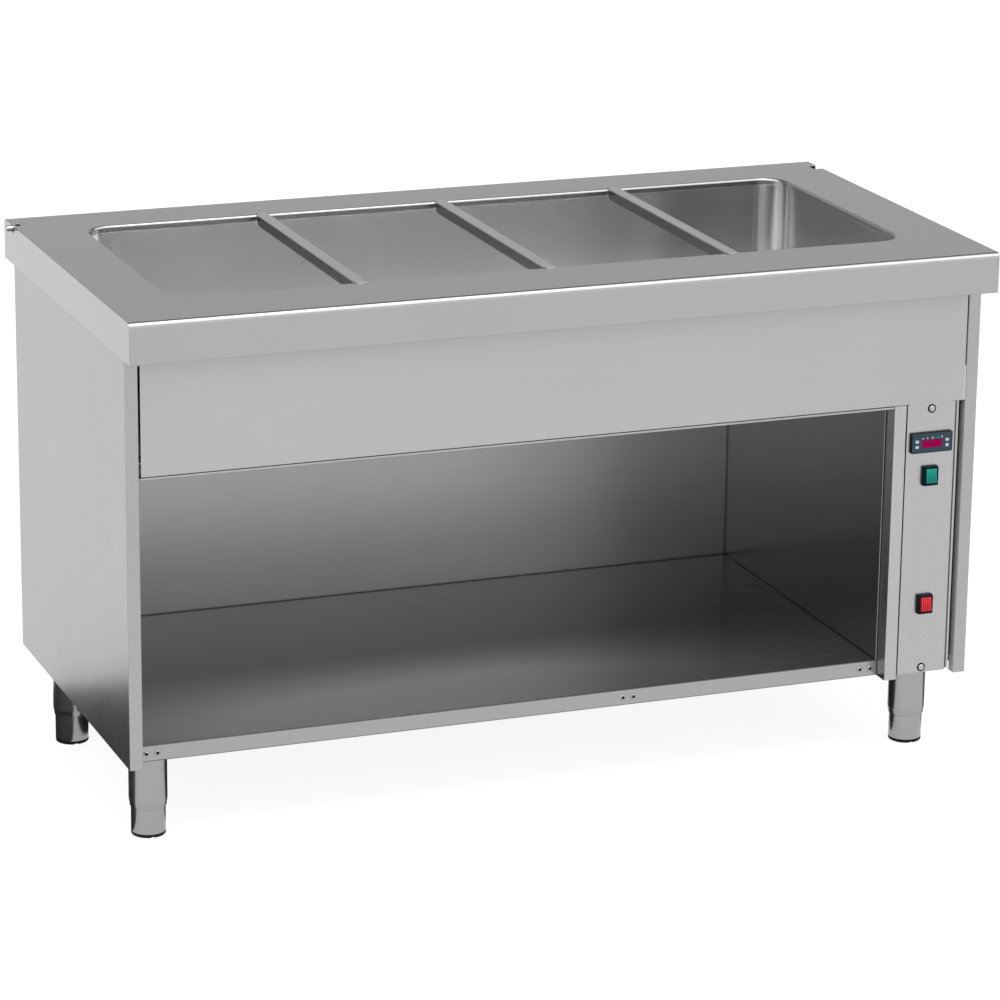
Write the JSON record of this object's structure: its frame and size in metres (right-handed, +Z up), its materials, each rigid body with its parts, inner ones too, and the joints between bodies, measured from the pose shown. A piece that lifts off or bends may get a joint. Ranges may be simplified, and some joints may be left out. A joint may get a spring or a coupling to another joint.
{
  "type": "bain marie counter",
  "caption": "Stainless serving counter with a heated water well for hung pans, an open cupboard below, a control column at the right and adjustable legs.",
  "frame": {"origin": "on the floor under the centre of the worktop", "axes": "+X along the counter to the right as seen from the operator's open side, +Y to the back, +Z up; the open side faces -Y"},
  "size_m": [1.512, 0.76, 0.9012],
  "materials": {
    "steel_top": "fine satin grain along the length",
    "steel_well": "satin, drawn",
    "steel_bar": "satin, folded",
    "steel_panel": "satin, upright grain",
    "steel_back": "satin",
    "steel_inner": "satin",
    "steel_shelf": "satin grain along the length",
    "steel_fascia": "satin grain along the length",
    "steel_column": "satin, upright grain",
    "steel_plate": "satin, upright grain",
    "steel_fixing": "turned, bright",
    "steel_leg": "satin tube, grain round the tube",
    "galvanised": "zinc coated, matt",
    "sole_black": "moulded, matt",
    "case_dark": "moulded, satin",
    "display": "tinted lens",
    "key_pale": "moulded, satin",
    "switch_black": "moulded, satin",
    "lens_green": "translucent lens",
    "lens_red": "translucent lens",
    "device_grey": "moulded, matt",
    "gland_grey": "moulded, satin",
    "element_steel": "oxidised sheath",
    "wool": "mineral wool",
    "valve_nickel": "nickel plated",
    "lever_red": "dipped grip coat"
  },
  "bodies": {
    "counter": {"worktop": "steel_top", "tank": "steel_well", "joining_pin": "steel_fixing", "left_end_panel": "steel_panel", "right_end_panel": "steel_panel", "back_panel": "steel_back", "bottom_shelf": "steel_shelf", "shelf_rivets": "steel_fixing", "shelf_runners": "galvanised", "base_rail_left": "galvanised", "base_rail_right": "galvanised", "inner_wall_left": "steel_inner", "inner_wall_right": "steel_inner", "ceiling_panel": "steel_inner", "front_fascia": "steel_fascia", "fascia_rail": "steel_fascia", "control_post": "steel_column", "column_floor": "galvanised", "column_head": "galvanised", "control_plate": "steel_plate", "plate_screws": "steel_fixing", "thermostat_case": "case_dark", "thermostat_window": "display", "green_switch_case": "switch_black", "red_switch_case": "switch_black", "mounting_rail": "galvanised", "contactor": "device_grey", "terminal_block": "device_grey", "cable_gland": "gland_grey", "heating_element_left": "element_steel", "heating_element_right": "element_steel", "element_clamps": "galvanised", "tank_insulation": "wool", "thermostat_probe": "valve_nickel", "probe_clip": "galvanised", "drain_fitting": "steel_fixing", "drain_valve": "valve_nickel", "leg_front_left": "steel_leg", "leg_front_right": "steel_leg", "leg_rear_left": "steel_leg", "leg_rear_right": "steel_leg"},
    "bar_1": {"divider_bar_1": "steel_bar"},
    "bar_2": {"divider_bar_2": "steel_bar"},
    "bar_3": {"divider_bar_3": "steel_bar"},
    "green_switch": {"green_rocker": "lens_green"},
    "red_switch": {"red_rocker": "lens_red"},
    "push_upper_left": {"key_upper_left": "key_pale"},
    "push_lower_left": {"key_lower_left": "key_pale"},
    "push_upper_right": {"key_upper_right": "key_pale"},
    "push_lower_right": {"key_lower_right": "key_pale"},
    "lever": {"drain_lever": "lever_red", "valve_ball": "valve_nickel"},
    "adjuster_front_left": {"foot_front_left": "steel_leg", "sole_front_left": "sole_black"},
    "adjuster_front_right": {"foot_front_right": "steel_leg", "sole_front_right": "sole_black"},
    "adjuster_rear_left": {"foot_rear_left": "steel_leg", "sole_rear_left": "sole_black"},
    "adjuster_rear_right": {"foot_rear_right": "steel_leg", "sole_rear_right": "sole_black"}
  },
  "joints": [
    {"name": "bar_1_lift", "type": "slide", "parent": "counter", "child": "bar_1", "axis": [0, 0, 1], "range_m": [0, 0.25]},
    {"name": "bar_2_lift", "type": "slide", "parent": "counter", "child": "bar_2", "axis": [0, 0, 1], "range_m": [0, 0.25]},
    {"name": "bar_3_lift", "type": "slide", "parent": "counter", "child": "bar_3", "axis": [0, 0, 1], "range_m": [0, 0.25]},
    {"name": "green_rock", "type": "hinge", "parent": "counter", "child": "green_switch", "pos_m": [0.661, -0.33205, 0.51], "axis": [1, 0, 0], "range_deg": [0, 12]},
    {"name": "red_rock", "type": "hinge", "parent": "counter", "child": "red_switch", "pos_m": [0.661, -0.33205, 0.282], "axis": [1, 0, 0], "range_deg": [0, 12]},
    {"name": "key_upper_left_press", "type": "slide", "parent": "counter", "child": "push_upper_left", "axis": [0, 1, 0], "range_m": [0, 0.0006], "stiffness_N_per_m": 400, "springref_m": -0.0004},
    {"name": "key_lower_left_press", "type": "slide", "parent": "counter", "child": "push_lower_left", "axis": [0, 1, 0], "range_m": [0, 0.0006], "stiffness_N_per_m": 400, "springref_m": -0.0004},
    {"name": "key_upper_right_press", "type": "slide", "parent": "counter", "child": "push_upper_right", "axis": [0, 1, 0], "range_m": [0, 0.0006], "stiffness_N_per_m": 400, "springref_m": -0.0004},
    {"name": "key_lower_right_press", "type": "slide", "parent": "counter", "child": "push_lower_right", "axis": [0, 1, 0], "range_m": [0, 0.0006], "stiffness_N_per_m": 400, "springref_m": -0.0004},
    {"name": "drain_lever_turn", "type": "hinge", "parent": "counter", "child": "lever", "pos_m": [0.482, 0.208, 0.622], "axis": [0, 1, 0], "range_deg": [0, 90]},
    {"name": "foot_front_left_screw", "type": "slide", "parent": "counter", "child": "adjuster_front_left", "axis": [0, 0, 1], "range_m": [-0.03, 0.015]},
    {"name": "foot_front_right_screw", "type": "slide", "parent": "counter", "child": "adjuster_front_right", "axis": [0, 0, 1], "range_m": [-0.03, 0.015]},
    {"name": "foot_rear_left_screw", "type": "slide", "parent": "counter", "child": "adjuster_rear_left", "axis": [0, 0, 1], "range_m": [-0.03, 0.015]},
    {"name": "foot_rear_right_screw", "type": "slide", "parent": "counter", "child": "adjuster_rear_right", "axis": [0, 0, 1], "range_m": [-0.03, 0.015]}
  ]
}
